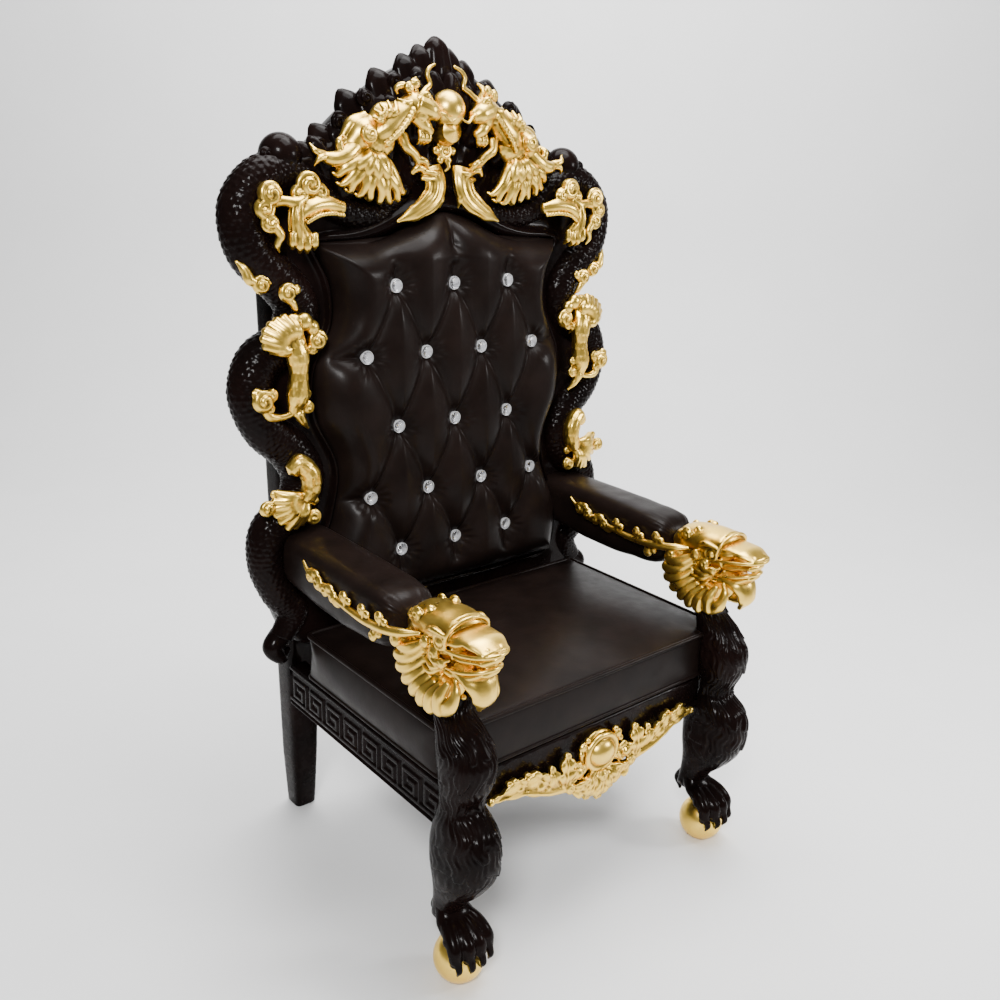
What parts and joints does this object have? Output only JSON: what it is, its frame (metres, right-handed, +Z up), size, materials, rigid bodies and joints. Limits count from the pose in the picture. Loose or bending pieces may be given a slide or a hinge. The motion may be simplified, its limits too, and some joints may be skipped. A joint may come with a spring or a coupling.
{
  "type": "ceremonial throne",
  "caption": "High-backed ceremonial throne with a black lacquered frame of winding dragons, gilded carving, crystal-tufted dark leather and dragon-head arms.",
  "frame": {"origin": "on the floor, under the middle of the throne's bounding box", "axes": "+Z up, +Y towards the rear (the sitter faces -Y), +X to the right as seen from the front (the sitter's left)"},
  "size_m": [1.0078, 0.8016, 1.7457],
  "materials": {
    "lacquer": "carved wood in glossy black-brown lacquer",
    "gilding": "bright gilding over carving, darker in the recesses",
    "leather": "dark brown leather with a soft sheen",
    "crystal": "clear cut crystal"
  },
  "bodies": {
    "root": {"apron_spray": "gilding", "arm_dragon_head_left": "gilding", "arm_dragon_head_right": "gilding", "arm_left": "leather", "arm_right": "leather", "arm_sprig_inner_left": "gilding", "arm_sprig_inner_right": "gilding", "arm_sprig_outer_left": "gilding", "arm_sprig_outer_right": "gilding", "back_board": "leather", "back_button_1": "crystal", "back_button_10": "crystal", "back_button_11": "crystal", "back_button_12": "crystal", "back_button_13": "crystal", "back_button_14": "crystal", "back_button_15": "crystal", "back_button_16": "crystal", "back_button_17": "crystal", "back_button_2": "crystal", "back_button_3": "crystal", "back_button_4": "crystal", "back_button_5": "crystal", "back_button_6": "crystal", "back_button_7": "crystal", "back_button_8": "crystal", "back_button_9": "crystal", "back_frame": "lacquer", "back_pad": "leather", "ball_foot_left": "gilding", "ball_foot_right": "gilding", "crest_dragon_left": "gilding", "crest_dragon_right": "gilding", "crest_pearl": "gilding", "crest_ribbon_left": "gilding", "crest_ribbon_right": "gilding", "edge_curls_left": "gilding", "edge_curls_right": "gilding", "front_leg_left": "lacquer", "front_leg_right": "lacquer", "front_rail": "lacquer", "lower_claw_left": "gilding", "lower_claw_right": "gilding", "rear_post_left": "lacquer", "rear_post_right": "lacquer", "rear_rail": "lacquer", "seat_cushion": "leather", "shoulder_claw_left": "gilding", "shoulder_claw_right": "gilding", "side_claw_left": "gilding", "side_claw_right": "gilding", "side_curls_left": "gilding", "side_curls_right": "gilding", "side_rail_left": "lacquer", "side_rail_right": "lacquer"}
  },
  "joints": []
}
